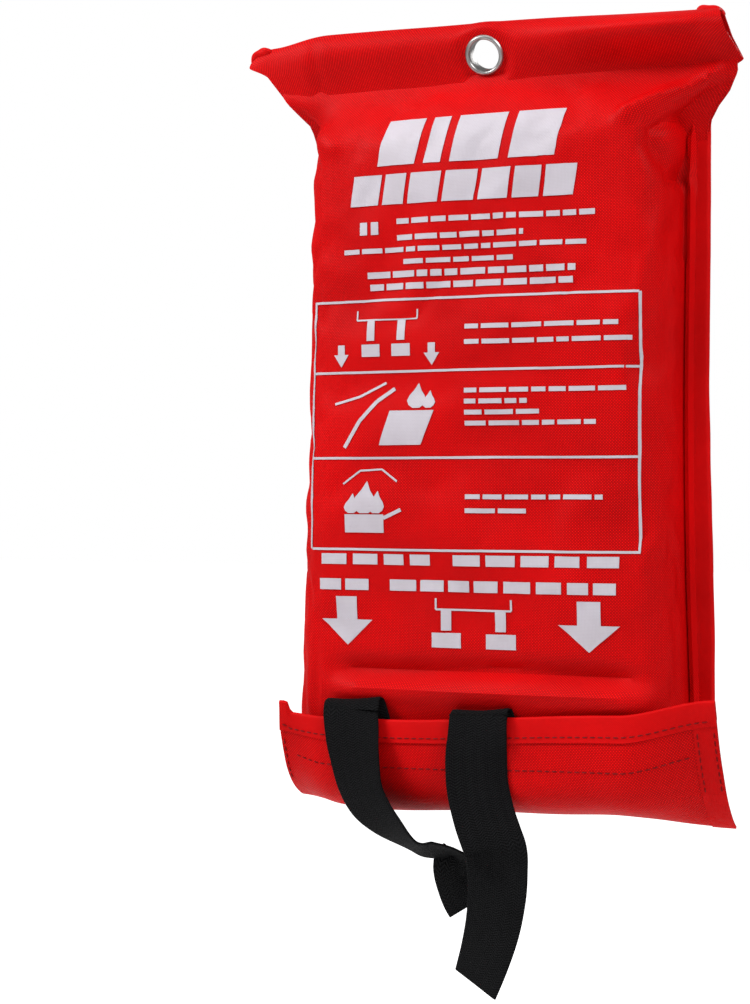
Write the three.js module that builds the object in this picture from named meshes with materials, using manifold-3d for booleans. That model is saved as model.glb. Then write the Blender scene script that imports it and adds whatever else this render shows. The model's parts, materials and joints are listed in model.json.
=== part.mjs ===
// A fire blanket in its soft wall pouch. Millimetres, +Z up, the front faces -Y.
// The origin is the centre of the eyelet that the pouch hangs from. The pouch is open at the bottom: a
// flap folds up over its front and holds with hook and loop. Two webbing tapes, sewn to the folded
// blanket, turn round the pouch's mouth, come out over the flap's top edge and hang down in front of it.
import * as THREE from "three";
import { mergeVertices } from "three/addons/utils/BufferGeometryUtils.js";
import Module from "manifold-3d";

const wasm = await Module();
wasm.setup();

// Cloth and trim thicknesses
const GAP = 0.3;
const CLOTH = 0.6;
const HOOK_AND_LOOP = 0.8;
const WEBBING = 1.2;

// The folded blanket: one metre square, in seven pleats across and four turns up
const SHEET = 1000;
const BLANKET_WIDTH = SHEET / 7;
const BLANKET_HEIGHT = SHEET / 4;
const BLANKET_DEPTH = 21.2;

// The pouch
const BACK_PLANE = 14;
const HEADER_TOP = 13;
const HEADER_BOTTOM = -12;
const HEADER_HALF_WIDTH = 109;
const HEADER_SHOULDER = 98;
const EAR_TIP = -2;
const EAR_TAPER = 4;
const BODY_TOP = -42;
const MOUTH = -293.5;
const POUCH_BOTTOM = -307.4;
const FLANGE_HALF_WIDTH = 88;
const FLANGE_WIDTH = 9;
const BINDING_WIDTH = 8;
const BINDING_TOP = BODY_TOP - 2;
const MOUTH_HEM = 10;
const CORNER_RADIUS = 8;
const FOOT_RADIUS = 1.5;
const BLANKET_TOP = BODY_TOP + 2;

// The flap and what closes it
const FLAP_HALF_WIDTH = 98;
const FLAP_TOP = -271.2;
const FLAP_FOLD = -301;
const HEM = 11;
const STRIP_HEIGHT = 16;
const STRIP_DROP = 4;
const STRIP_HALF_WIDTH = 84;
const FOLD_ROOM = 0.5;
const HEM_FOLD_ROOM = 2;

// The pull tapes
const TAPE_WIDTH = 25;
const TAPE_TURN = 2.2;
const TAPE_TURN_STEPS = 6;
const TAPE_SEWN = 32;
const MOUTH_ROOM = 1;
const FLAP_ROOM = 1.3;
const LEFT_TAPE_X = -52;
const RIGHT_TAPE_X = 4.5;

// The eyelet
const EYELET_BORE = 6;
const EYELET_NECK = 6.6;
const EYELET_RIM = 9;
const EYELET_PLATE = 0.8;

// Each layer at the mouth, from the wall to the front, with the gap between neighbours
const LAYERS = (() => {
  const thickness = {
    backPanel: CLOTH,
    flapRoom: 1.2,
    blanket: BLANKET_DEPTH,
    tapeInner: WEBBING,
    mouthHem: CLOTH,
    frontPanel: CLOTH,
    loopStrip: HOOK_AND_LOOP,
    tapeOuter: WEBBING,
    hookStrip: HOOK_AND_LOOP,
    flapPanel: CLOTH,
    flapHem: CLOTH,
    tapeTail: WEBBING,
  };
  const layers = {};
  let y = BACK_PLANE;
  for (const [name, deep] of Object.entries(thickness)) {
    layers[name] = { back: y, front: y - deep, middle: y - deep / 2 };
    y -= deep + GAP;
  }
  return layers;
})();

function cloth(color, roughness) {
  return new THREE.MeshStandardMaterial({ color, roughness, metalness: 0 });
}

const RED_CLOTH = () => cloth(0xc8101a, 0.6);
const RED_TRIM = () => cloth(0xb80d17, 0.65);
const RED_HOOK = () => cloth(0x9c0c14, 0.9);
const BLACK_WEBBING = () => cloth(0x151515, 0.8);
const GLASS_CLOTH = () => cloth(0xe9e6dc, 0.85);
const NICKEL = () => new THREE.MeshStandardMaterial({ color: 0xd0d2d4, roughness: 0.2, metalness: 1 });

function named(name, geometry, material) {
  const mesh = new THREE.Mesh(geometry, material);
  mesh.name = name;
  return mesh;
}

// A box whose points are moved by place(across, through, along): -1..1 across, 0..1 from front to back,
// and 0..1 from the bottom to the top.
function bentBox(acrossSteps, alongSteps, place) {
  const geometry = new THREE.BoxGeometry(2, 1, 1, acrossSteps, 1, alongSteps);
  const position = geometry.getAttribute("position");
  const point = new THREE.Vector3();
  for (let i = 0; i < position.count; i++) {
    point.fromBufferAttribute(position, i);
    point.copy(place(point.x, point.y + 0.5, point.z + 0.5));
    position.setXYZ(i, point.x, point.y, point.z);
  }
  geometry.deleteAttribute("normal");
  geometry.deleteAttribute("uv");
  return mergeVertices(geometry, 1e-4);
}

// A flat plate from its corner limits.
function plate(x, y, z) {
  const geometry = new THREE.BoxGeometry(x[1] - x[0], y[1] - y[0], z[1] - z[0]);
  geometry.translate((x[0] + x[1]) / 2, (y[0] + y[1]) / 2, (z[0] + z[1]) / 2);
  return geometry;
}

function solid(geometry) {
  const bare = geometry.index ? geometry.toNonIndexed() : geometry.clone();
  bare.deleteAttribute("normal");
  bare.deleteAttribute("uv");
  const merged = mergeVertices(bare, 1e-4);
  return new wasm.Manifold(
    new wasm.Mesh({
      numProp: 3,
      vertProperties: new Float32Array(merged.attributes.position.array),
      triVerts: new Uint32Array(merged.index.array),
    }),
  );
}

function geometryOf(manifold) {
  const mesh = manifold.getMesh();
  const geometry = new THREE.BufferGeometry();
  geometry.setAttribute("position", new THREE.BufferAttribute(mesh.vertProperties, 3));
  geometry.setIndex(new THREE.BufferAttribute(mesh.triVerts, 1));
  return geometry;
}

// The hole punched for the eyelet's neck, front to back.
function withEyeletHole(geometry) {
  const punch = new THREE.CylinderGeometry(EYELET_NECK + GAP, EYELET_NECK + GAP, 12, 32);
  return geometryOf(solid(geometry).subtract(solid(punch)));
}

// 0 in the flat header and 1 in the full body, with a soft slope between.
function bodyShare(z) {
  return THREE.MathUtils.smoothstep(HEADER_BOTTOM - z, 0, HEADER_BOTTOM - BODY_TOP);
}

// The panels are wider in the header than down the body.
function panelWidening(z) {
  return THREE.MathUtils.lerp((HEADER_SHOULDER - 1) / FLANGE_HALF_WIDTH, 1, bodyShare(z));
}

// Half of the front panel's cross-section, from its middle to the outer edge of its flange. x is across,
// rise is the height over the flange, and the normal points into the pouch.
function frontSection(height) {
  const wall = FLANGE_HALF_WIDTH - FLANGE_WIDTH - FOOT_RADIUS;
  const face = wall - CORNER_RADIUS;
  const points = [];
  for (const share of [0, 0.35, 0.7, 1]) {
    points.push({ x: face * share, rise: height, inX: 0, inRise: -1 });
  }
  for (const turn of [30, 60, 90]) {
    const angle = THREE.MathUtils.degToRad(turn);
    points.push({
      x: face + CORNER_RADIUS * Math.sin(angle),
      rise: height - CORNER_RADIUS * (1 - Math.cos(angle)),
      inX: -Math.sin(angle),
      inRise: -Math.cos(angle),
    });
  }
  for (const turn of [90, 45, 0]) {
    const angle = THREE.MathUtils.degToRad(turn);
    points.push({
      x: wall + FOOT_RADIUS * (1 - Math.sin(angle)),
      rise: FOOT_RADIUS * (1 - Math.cos(angle)),
      inX: -Math.sin(angle),
      inRise: -Math.cos(angle),
    });
  }
  points.push({ x: FLANGE_HALF_WIDTH, rise: 0, inX: 0, inRise: -1 });
  return points;
}

// Heights for the panels' rows of points: close together over the slope under the header.
function panelHeights(bottom) {
  const slope = [0.15, 0.3, 0.45, 0.6, 0.75, 0.9, 1];
  const top = HEADER_TOP - 2 * CLOTH - 2 * GAP;
  const heights = [top, HEADER_BOTTOM];
  for (const share of slope) {
    heights.push(THREE.MathUtils.lerp(HEADER_BOTTOM, BODY_TOP, share));
  }
  for (const share of [0.33, 0.66, 1]) {
    heights.push(THREE.MathUtils.lerp(BODY_TOP, bottom, share));
  }
  return heights.reverse();
}

function frontPanel() {
  const flangeFront = BACK_PLANE - 2 * CLOTH - GAP;
  const section = frontSection(flangeFront - LAYERS.frontPanel.front);
  const heights = panelHeights(MOUTH);
  const halfSteps = section.length - 1;
  const shape = bentBox(2 * halfSteps, heights.length - 1, (across, through, along) => {
    const z = heights[Math.round(along * (heights.length - 1))];
    const at = section[Math.round(Math.abs(across) * halfSteps)];
    const share = bodyShare(z);
    const x = at.x * panelWidening(z) + through * CLOTH * at.inX * share;
    const base = THREE.MathUtils.lerp(-GAP / 2 - CLOTH, flangeFront, share);
    const inward = THREE.MathUtils.lerp(1, -at.inRise, share);
    return new THREE.Vector3(Math.sign(across) * x, base - share * at.rise + through * CLOTH * inward, z);
  });
  return named("front_panel", withEyeletHole(shape), RED_CLOTH());
}

function backPanel() {
  const heights = panelHeights(POUCH_BOTTOM);
  const shape = bentBox(2, heights.length - 1, (across, through, along) => {
    const z = heights[Math.round(along * (heights.length - 1))];
    const front = THREE.MathUtils.lerp(GAP / 2, BACK_PLANE - CLOTH, bodyShare(z));
    return new THREE.Vector3(across * FLANGE_HALF_WIDTH * panelWidening(z), front + through * CLOTH, z);
  });
  return named("back_panel", withEyeletHole(shape), RED_CLOTH());
}

// The top band: one strip folded over the panels' top edges, with ears that stand out past the body.
function headerBand() {
  const inner = GAP / 2 + CLOTH + GAP;
  const outer = inner + CLOTH;
  const outline = new THREE.Shape();
  outline.moveTo(-HEADER_SHOULDER, HEADER_TOP);
  outline.lineTo(-HEADER_HALF_WIDTH, EAR_TIP);
  outline.lineTo(-HEADER_HALF_WIDTH + EAR_TAPER, HEADER_BOTTOM);
  outline.lineTo(HEADER_HALF_WIDTH - EAR_TAPER, HEADER_BOTTOM);
  outline.lineTo(HEADER_HALF_WIDTH, EAR_TIP);
  outline.lineTo(HEADER_SHOULDER, HEADER_TOP);
  const block = new THREE.ExtrudeGeometry(outline, { depth: 2 * outer, bevelEnabled: false });
  block.rotateX(Math.PI / 2);
  block.translate(0, outer, 0);
  const reach = HEADER_HALF_WIDTH + 1;
  const slot = plate([-reach, reach], [-inner, inner], [HEADER_BOTTOM - 1, HEADER_TOP - CLOTH]);
  const folded = geometryOf(solid(block).subtract(solid(slot)));
  return named("header_band", withEyeletHole(folded), RED_TRIM());
}

// A ring turned round the eyelet's axis, from its [radius, y] corners.
function ring(corners) {
  const closed = [...corners, corners[0]].map(([radius, y]) => new THREE.Vector2(radius, y));
  return new THREE.LatheGeometry(closed, 32);
}

function eyelet() {
  const face = GAP / 2 + 2 * CLOTH + 2 * GAP;
  const back = face + EYELET_PLATE;
  const tip = back + GAP + EYELET_PLATE;
  const barrel = ring([
    [EYELET_BORE, -back],
    [EYELET_RIM - 0.6, -back],
    [EYELET_RIM, -back + 0.4],
    [EYELET_RIM, -face],
    [EYELET_NECK, -face],
    [EYELET_NECK, tip],
    [EYELET_BORE, tip],
  ]);
  const washer = ring([
    [EYELET_NECK + GAP, face],
    [EYELET_RIM, face],
    [EYELET_RIM, back - 0.3],
    [EYELET_RIM - 0.5, back],
    [EYELET_NECK + GAP, back],
  ]);
  return [named("eyelet_barrel", barrel, NICKEL()), named("eyelet_washer", washer, NICKEL())];
}

// The strip sewn along a side seam: over the flange and round its edge.
function seamBinding(side) {
  const front = BACK_PLANE - 3 * CLOTH - 2 * GAP;
  const edge = FLANGE_HALF_WIDTH + GAP;
  const outline = new THREE.Shape();
  outline.moveTo(edge - BINDING_WIDTH, front);
  outline.lineTo(edge + CLOTH, front);
  outline.lineTo(edge + CLOTH, BACK_PLANE);
  outline.lineTo(edge, BACK_PLANE);
  outline.lineTo(edge, front + CLOTH);
  outline.lineTo(edge - BINDING_WIDTH, front + CLOTH);
  const geometry = new THREE.ExtrudeGeometry(outline, { depth: BINDING_TOP - MOUTH, bevelEnabled: false });
  geometry.translate(0, 0, MOUTH);
  if (side < 0) geometry.rotateY(Math.PI).translate(0, 0, BINDING_TOP + MOUTH);
  return named(side < 0 ? "left_seam_binding" : "right_seam_binding", geometry, RED_TRIM());
}

function mouthHem() {
  const layer = LAYERS.mouthHem;
  const half = FLANGE_HALF_WIDTH - FLANGE_WIDTH - FOOT_RADIUS - CORNER_RADIUS - 1;
  const geometry = plate([-half, half], [layer.front, layer.back], [MOUTH, MOUTH + MOUTH_HEM]);
  return named("mouth_hem", geometry, RED_TRIM());
}

function loopStrip() {
  const layer = LAYERS.loopStrip;
  const half = FLANGE_HALF_WIDTH - FLANGE_WIDTH - FOOT_RADIUS - CORNER_RADIUS - 1;
  const top = FLAP_TOP - STRIP_DROP;
  const geometry = plate([-half, half], [layer.front, layer.back], [top - STRIP_HEIGHT, top]);
  return named("loop_strip", geometry, RED_HOOK());
}

// The blanket as one closed block with softened long edges.
function foldedBlanket() {
  const { back, front } = LAYERS.blanket;
  const soft = 3;
  const half = BLANKET_WIDTH / 2;
  const outline = new THREE.Shape();
  outline.moveTo(half, front + soft);
  outline.absarc(half - soft, back - soft, soft, 0, Math.PI / 2);
  outline.absarc(soft - half, back - soft, soft, Math.PI / 2, Math.PI);
  outline.absarc(soft - half, front + soft, soft, Math.PI, 1.5 * Math.PI);
  outline.absarc(half - soft, front + soft, soft, 1.5 * Math.PI, 2 * Math.PI);
  const options = { depth: BLANKET_HEIGHT, bevelEnabled: false, curveSegments: 4 };
  const geometry = new THREE.ExtrudeGeometry(outline, options);
  geometry.translate(0, 0, BLANKET_TOP - BLANKET_HEIGHT);
  return named("folded_blanket", geometry, GLASS_CLOTH());
}

// The flap's lower part, from the pouch's back edge forward under its mouth.
const FLAP_HINGE = { y: BACK_PLANE - CLOTH / 2, z: POUCH_BOTTOM - 0.9 };
const FOLD_HINGE = { y: LAYERS.flapPanel.middle, z: FLAP_FOLD };

// A strip of the flap's lower part between two places across it. It lies this far above the middle of the
// flap's cloth, and stops short of both folds.
function flapBaseStrip(name, left, right, above, short, material) {
  const run = new THREE.Vector2(FOLD_HINGE.y - FLAP_HINGE.y, FOLD_HINGE.z - FLAP_HINGE.z);
  const length = run.length();
  const forward = run.clone().normalize();
  const up = new THREE.Vector2(forward.y, -forward.x);
  const geometry = bentBox(1, 1, (across, through, along) => {
    const reach = THREE.MathUtils.lerp(length - short, short, through);
    const lift = above + (along - 0.5) * CLOTH;
    return new THREE.Vector3(
      THREE.MathUtils.lerp(left, right, (across + 1) / 2),
      FLAP_HINGE.y + forward.x * reach + up.x * lift,
      FLAP_HINGE.z + forward.y * reach + up.y * lift,
    );
  });
  return named(name, geometry, material);
}

function flapBase() {
  const inset = FLAP_HALF_WIDTH - HEM;
  const hemLift = CLOTH + GAP;
  return [
    flapBaseStrip("flap_base", -FLAP_HALF_WIDTH, FLAP_HALF_WIDTH, 0, FOLD_ROOM, RED_CLOTH()),
    flapBaseStrip("flap_base_left_hem", -FLAP_HALF_WIDTH, -inset, hemLift, HEM_FOLD_ROOM, RED_TRIM()),
    flapBaseStrip("flap_base_right_hem", inset, FLAP_HALF_WIDTH, hemLift, HEM_FOLD_ROOM, RED_TRIM()),
  ];
}

// The flap's upper part, which stands up in front of the pouch.
function flapPanel() {
  const { flapPanel: panel, flapHem: hem, hookStrip: hook } = LAYERS;
  const whole = [-FLAP_HALF_WIDTH, FLAP_HALF_WIDTH];
  const bottom = FLAP_FOLD + FOLD_ROOM;
  const stripTop = FLAP_TOP - STRIP_DROP;
  const inset = FLAP_HALF_WIDTH - HEM;
  const topHem = new THREE.Shape();
  topHem.moveTo(hem.front, FLAP_TOP - HEM);
  topHem.lineTo(hem.back, FLAP_TOP - HEM);
  topHem.lineTo(hem.back, FLAP_TOP + GAP);
  topHem.lineTo(panel.back, FLAP_TOP + GAP);
  topHem.lineTo(panel.back, FLAP_TOP + GAP + CLOTH);
  topHem.lineTo(hem.front, FLAP_TOP + GAP + CLOTH);
  const folded = new THREE.ExtrudeGeometry(topHem, { depth: 2 * FLAP_HALF_WIDTH, bevelEnabled: false });
  folded.rotateX(Math.PI / 2).rotateZ(Math.PI / 2).translate(-FLAP_HALF_WIDTH, 0, 0);
  const sideHem = (left, right) =>
    plate([left, right], [hook.front, hook.front + CLOTH], [bottom, FLAP_TOP]);
  const strip = plate(
    [-STRIP_HALF_WIDTH, STRIP_HALF_WIDTH],
    [hook.front, hook.back],
    [stripTop - STRIP_HEIGHT, stripTop],
  );
  return [
    named("flap_panel", plate(whole, [panel.front, panel.back], [bottom, FLAP_TOP]), RED_CLOTH()),
    named("flap_top_hem", folded, RED_TRIM()),
    named("flap_left_hem", sideHem(-FLAP_HALF_WIDTH, -inset), RED_TRIM()),
    named("flap_right_hem", sideHem(inset, FLAP_HALF_WIDTH), RED_TRIM()),
    named("hook_strip", strip, RED_HOOK()),
  ];
}

// A length of webbing through stations {at, across}: across points from its left edge to its right edge.
function webbing(name, stations) {
  const steps = stations.length - 1;
  const order = [...stations].reverse();
  const geometry = bentBox(1, steps, (across, through, along) => {
    const here = Math.round(along * steps);
    const { at, across: side } = order[here];
    const before = order[Math.max(here - 1, 0)].at;
    const after = order[Math.min(here + 1, steps)].at;
    const up = after.clone().sub(before).normalize();
    const back = up.clone().cross(side).normalize();
    return at
      .clone()
      .addScaledVector(side, (across * TAPE_WIDTH) / 2)
      .addScaledVector(back, (through - 0.5) * WEBBING);
  });
  return named(name, geometry, BLACK_WEBBING());
}

// Sewn to the front of the blanket, round the pouch's mouth, up behind the flap and over its top edge.
function tapeRoot(name, x) {
  const across = new THREE.Vector3(1, 0, 0);
  const stations = [];
  const stop = (y, z) => stations.push({ at: new THREE.Vector3(x, y, z), across });
  const turn = (y, z, from) => {
    for (let step = 0; step <= TAPE_TURN_STEPS; step++) {
      const angle = from - (step / TAPE_TURN_STEPS) * Math.PI;
      stop(y + TAPE_TURN * Math.cos(angle), z + (from > 0 ? 1 : -1) * TAPE_TURN * Math.abs(Math.sin(angle)));
    }
  };
  stop(LAYERS.tapeInner.middle, MOUTH + TAPE_SEWN);
  turn(LAYERS.tapeInner.middle - TAPE_TURN, MOUTH - MOUTH_ROOM, 0);
  turn(LAYERS.tapeOuter.middle - TAPE_TURN, FLAP_TOP + FLAP_ROOM, 2 * Math.PI);
  return webbing(name, stations);
}

const leaning = (x, y, z) => new THREE.Vector3(x, y, z).normalize();

function leftTape() {
  const y = LAYERS.tapeTail.middle;
  const x = LEFT_TAPE_X;
  return webbing("left_pull_tape", [
    { at: new THREE.Vector3(x, y, FLAP_TOP - 0.25), across: leaning(1, 0, 0) },
    { at: new THREE.Vector3(x + 0.5, y, FLAP_TOP - 18), across: leaning(1, 0, 0.08) },
    { at: new THREE.Vector3(x + 4, y, FLAP_TOP - 34), across: leaning(1, 0, 0.35) },
    { at: new THREE.Vector3(x + 12, y + 1.5, FLAP_TOP - 46), across: leaning(0.8, -0.3, 0.6) },
    { at: new THREE.Vector3(x + 25, y + 6, FLAP_TOP - 54), across: leaning(0.35, -0.75, 0.55) },
    { at: new THREE.Vector3(x + 37, y + 11, FLAP_TOP - 58), across: leaning(0.3, -0.75, 0.55) },
    { at: new THREE.Vector3(x + 45, y + 12, FLAP_TOP - 66), across: leaning(0.8, -0.3, 0.4) },
    { at: new THREE.Vector3(x + 48, y + 12, FLAP_TOP - 78), across: leaning(1, 0, 0.1) },
  ]);
}

function rightTape() {
  const y = LAYERS.tapeTail.middle;
  const x = RIGHT_TAPE_X;
  return webbing("right_pull_tape", [
    { at: new THREE.Vector3(x, y, FLAP_TOP - 0.25), across: leaning(1, 0, 0) },
    { at: new THREE.Vector3(x - 1, y, FLAP_TOP - 30), across: leaning(1, 0, -0.02) },
    { at: new THREE.Vector3(x - 1, y - 0.5, FLAP_TOP - 50), across: leaning(1, 0, 0) },
    { at: new THREE.Vector3(x - 3, y + 2, FLAP_TOP - 72), across: leaning(1, 0, -0.12) },
    { at: new THREE.Vector3(x - 8, y + 5, FLAP_TOP - 92), across: leaning(1, 0, -0.28) },
    { at: new THREE.Vector3(x - 14, y + 6, FLAP_TOP - 110), across: leaning(1, 0, -0.38) },
  ]);
}

const pouch = new THREE.Group();
pouch.add(frontPanel(), backPanel(), headerBand(), ...eyelet());
pouch.add(seamBinding(-1), seamBinding(1), mouthHem(), loopStrip());

const flap = new THREE.Group();
flap.add(...flapBase(), ...flapPanel());

const blanket = new THREE.Group();
blanket.add(foldedBlanket());
blanket.add(tapeRoot("left_tape_root", LEFT_TAPE_X), leftTape());
blanket.add(tapeRoot("right_tape_root", RIGHT_TAPE_X), rightTape());

const fireBlanket = new THREE.Group();
fireBlanket.add(pouch, flap, blanket);

export default fireBlanket;
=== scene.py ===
"""A fire blanket in its soft wall pouch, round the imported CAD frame. Metres; the front faces -Y."""
import functools
import json
import math
import random

import bmesh
import bpy
import numpy as np
from mathutils import Matrix, Vector, noise
from mathutils.bvhtree import BVHTree


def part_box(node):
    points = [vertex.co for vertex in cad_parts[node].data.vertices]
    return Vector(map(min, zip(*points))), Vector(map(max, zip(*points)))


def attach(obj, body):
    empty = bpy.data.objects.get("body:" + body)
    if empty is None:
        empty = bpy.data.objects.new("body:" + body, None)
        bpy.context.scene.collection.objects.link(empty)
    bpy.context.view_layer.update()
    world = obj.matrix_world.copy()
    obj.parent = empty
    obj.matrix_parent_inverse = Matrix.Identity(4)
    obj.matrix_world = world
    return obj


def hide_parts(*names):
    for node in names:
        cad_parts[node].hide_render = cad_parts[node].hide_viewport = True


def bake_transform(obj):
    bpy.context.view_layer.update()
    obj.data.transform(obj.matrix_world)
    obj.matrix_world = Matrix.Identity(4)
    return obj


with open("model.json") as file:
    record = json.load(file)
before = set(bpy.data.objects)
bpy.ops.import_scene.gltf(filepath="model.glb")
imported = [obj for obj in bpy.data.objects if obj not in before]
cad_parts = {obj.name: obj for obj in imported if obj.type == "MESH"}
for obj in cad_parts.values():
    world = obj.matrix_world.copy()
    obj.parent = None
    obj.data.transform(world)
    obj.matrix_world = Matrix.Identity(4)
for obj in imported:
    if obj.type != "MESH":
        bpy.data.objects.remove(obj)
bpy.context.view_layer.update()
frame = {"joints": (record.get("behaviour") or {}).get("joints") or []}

random.seed(7)

MM = 0.001

# ---- places taken from the frame ----

front_low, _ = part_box("front_panel")
back_low, back_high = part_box("back_panel")
header_low, header_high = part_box("header_band")
blanket_low, blanket_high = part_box("folded_blanket")
left_root_low, left_root_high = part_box("left_tape_root")
right_root_low, right_root_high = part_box("right_tape_root")

FACE_Y = front_low[1]
BACK_Y = back_high[1]
MOUTH_Z = front_low[2]
POUCH_BOTTOM = back_low[2]
HEADER_TOP = header_high[2]
HEADER_BOTTOM = header_low[2]
TAPE_HINGE = Vector(next(j["pos_m"] for j in frame["joints"] if j["name"] == "left_tape_swing"))
LEFT_TAPE_X = (left_root_low[0] + left_root_high[0]) / 2
RIGHT_TAPE_X = (right_root_low[0] + right_root_high[0]) / 2
TAPE_WIDTH = left_root_high[0] - left_root_low[0]

CLOTH = 0.6 * MM
WEBBING = 1.2 * MM


# ---- small helpers ----

def smooth(start, end, value):
    """0 before start and 1 after end, with a soft slope between; start may be the larger."""
    t = min(max((value - start) / (end - start), 0), 1)
    return float(t * t * (3 - 2 * t))


def bump(centre, width, value):
    """A soft hump of height 1 round centre."""
    return math.exp(-(((value - centre) / width) ** 2))


def mix(a, b, share):
    return a + (b - a) * share


def unit(vectors):
    """Vectors made one long. They lie along the last axis."""
    return vectors / np.linalg.norm(vectors, axis=-1, keepdims=True)


def run_of(points):
    """The length of a path up to each of its points."""
    return np.concatenate([[0], np.cumsum(np.linalg.norm(np.diff(points, axis=0), axis=1))])


def curve(points, count):
    """count points, evenly spaced, along a smooth curve through the given ones.

    Values after the third ride along."""
    p = np.array(points, float)
    p = np.vstack([2 * p[0] - p[1], p, 2 * p[-1] - p[-2]])
    t = np.linspace(0, 1, 24, endpoint=False)[:, None]
    dense = []
    for a, b, c, d in zip(p[:-3], p[1:-2], p[2:-1], p[3:]):
        bend = (2 * a - 5 * b + 4 * c - d) * t ** 2 + (3 * b - a - 3 * c + d) * t ** 3
        dense.append(0.5 * (2 * b + (c - a) * t + bend))
    dense = np.vstack(dense + [p[-2][None]])
    run = run_of(dense[:, :3])
    even = np.linspace(0, run[-1], count)
    return np.stack([np.interp(even, run, dense[:, k]) for k in range(p.shape[1])], axis=1)


def normals_of(points):
    """Outward normals of a grid whose columns run right and whose rows run up the front."""
    return unit(np.cross(np.gradient(points, axis=1), np.gradient(points, axis=0)))


def noise_at(x, y, z, scale, seed=0.0):
    return noise.noise(Vector((x / scale, y / scale, z / scale + seed)))


def link(obj):
    bpy.context.scene.collection.objects.link(obj)
    return obj


def mesh_object(name, vertices, faces, flat=None):
    """A mesh from lists. flat gives each vertex its place on the flat cloth, in metres, for the weave."""
    mesh = bpy.data.meshes.new(name)
    mesh.from_pydata([tuple(v) for v in vertices], [], faces)
    if flat is not None:
        layer = mesh.uv_layers.new(name="cloth")
        loops = np.empty(len(mesh.loops), int)
        mesh.loops.foreach_get("vertex_index", loops)
        layer.data.foreach_set("uv", np.asarray(flat, float)[loops].ravel())
    mesh.update()
    return link(bpy.data.objects.new(name, mesh))


def grid_object(name, points, flat, flip=False):
    """A sheet from a rows x columns array of points, and the flat cloth's place of each."""
    rows, columns = points.shape[:2]
    faces = []
    for r in range(rows - 1):
        for c in range(columns - 1):
            a = r * columns + c
            quad = (a, a + 1, a + columns + 1, a + columns)
            faces.append(quad[::-1] if flip else quad)
    return mesh_object(name, points.reshape(-1, 3), faces, flat.reshape(-1, 2))


def apply_modifiers(obj):
    bpy.context.view_layer.update()
    graph = bpy.context.evaluated_depsgraph_get()
    mesh = bpy.data.meshes.new_from_object(obj.evaluated_get(graph))
    obj.modifiers.clear()
    obj.data = mesh
    return obj


def thicken(obj, thickness):
    """Turns a sheet into a closed solid, with half the thickness on each side."""
    solidify = obj.modifiers.new("thickness", "SOLIDIFY")
    solidify.thickness = thickness
    solidify.offset = 0
    return apply_modifiers(obj)


def tube_faces(rings, sides, first=0):
    """Faces of a tube from rings of vertices, one ring after another, with a cap at each end."""
    faces = []
    for ring in range(first, first + (rings - 1) * sides, sides):
        for k in range(sides):
            b = ring + (k + 1) % sides
            faces.append((ring + k, b, b + sides, ring + k + sides))
    last = first + (rings - 1) * sides
    faces.append(tuple(range(first, first + sides))[::-1])
    faces.append(tuple(range(last, last + sides)))
    return faces


def face_out(obj):
    """Turns the faces of a closed mesh outwards."""
    mesh = bmesh.new()
    mesh.from_mesh(obj.data)
    bmesh.ops.recalc_face_normals(mesh, faces=mesh.faces)
    mesh.to_mesh(obj.data)
    mesh.free()
    return obj


def subdivide(obj):
    surface = obj.modifiers.new("smooth", "SUBSURF")
    surface.levels = 1
    surface.render_levels = 1
    return apply_modifiers(obj)


def shade(obj, material):
    obj.data.materials.clear()
    obj.data.materials.append(material)
    obj.data.shade_smooth()
    obj.data.set_sharp_from_angle(angle=math.radians(45))
    return obj


def fit(obj, slot, body, *nodes):
    """Hides the nodes a piece replaces, and attaches the piece to its body when one is given. slot is not
    used.
    """
    if nodes:
        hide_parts(*nodes)
    if body:
        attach(obj, body)
    return obj


# ---- materials ----

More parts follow.
